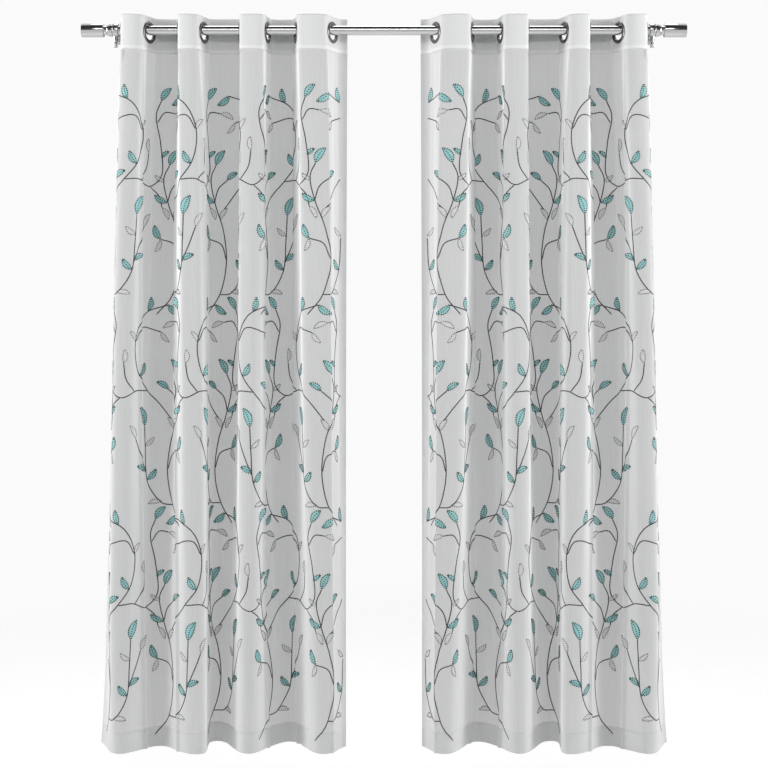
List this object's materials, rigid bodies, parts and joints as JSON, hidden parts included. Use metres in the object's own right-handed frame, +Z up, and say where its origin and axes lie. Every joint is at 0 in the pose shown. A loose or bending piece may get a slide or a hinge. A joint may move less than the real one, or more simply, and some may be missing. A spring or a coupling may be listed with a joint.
{
  "type": "pair of sheer curtains on a curtain rod",
  "caption": "Pair of sheer voile curtains with an embroidered leaf vine, hung by metal eyelets in loose folds on a metal rod with cylinder finials and wall brackets.",
  "frame": {"origin": "on the wall plane, midway between the two brackets, level with the axis of the rod", "axes": "+X to the right along the rod, +Y into the wall, +Z up"},
  "size_m": [1.7646, 0.1512, 2.134],
  "materials": {
    "voile": "sheer white voile, plain weave",
    "heading": "white voile turned over a stiff band",
    "eyelet": "dark polished nickel",
    "rod": "polished steel",
    "stem_thread": "charcoal chain stitch",
    "leaf_thread": "teal satin stitch",
    "pale_thread": "white satin stitch"
  },
  "bodies": {
    "root": {"rod": "rod", "finial_left": "rod", "finial_right": "rod", "bracket_left": "rod", "bracket_right": "rod", "set_screw_left": "rod", "set_screw_right": "rod", "heading_left": "heading", "heading_right": "heading", "panel_left": "voile", "panel_right": "voile", "eyelet_left_1": "eyelet", "eyelet_left_2": "eyelet", "eyelet_left_3": "eyelet", "eyelet_left_4": "eyelet", "eyelet_left_5": "eyelet", "eyelet_left_6": "eyelet", "eyelet_left_7": "eyelet", "eyelet_left_8": "eyelet", "eyelet_right_1": "eyelet", "eyelet_right_2": "eyelet", "eyelet_right_3": "eyelet", "eyelet_right_4": "eyelet", "eyelet_right_5": "eyelet", "eyelet_right_6": "eyelet", "eyelet_right_7": "eyelet", "eyelet_right_8": "eyelet"}
  },
  "joints": []
}
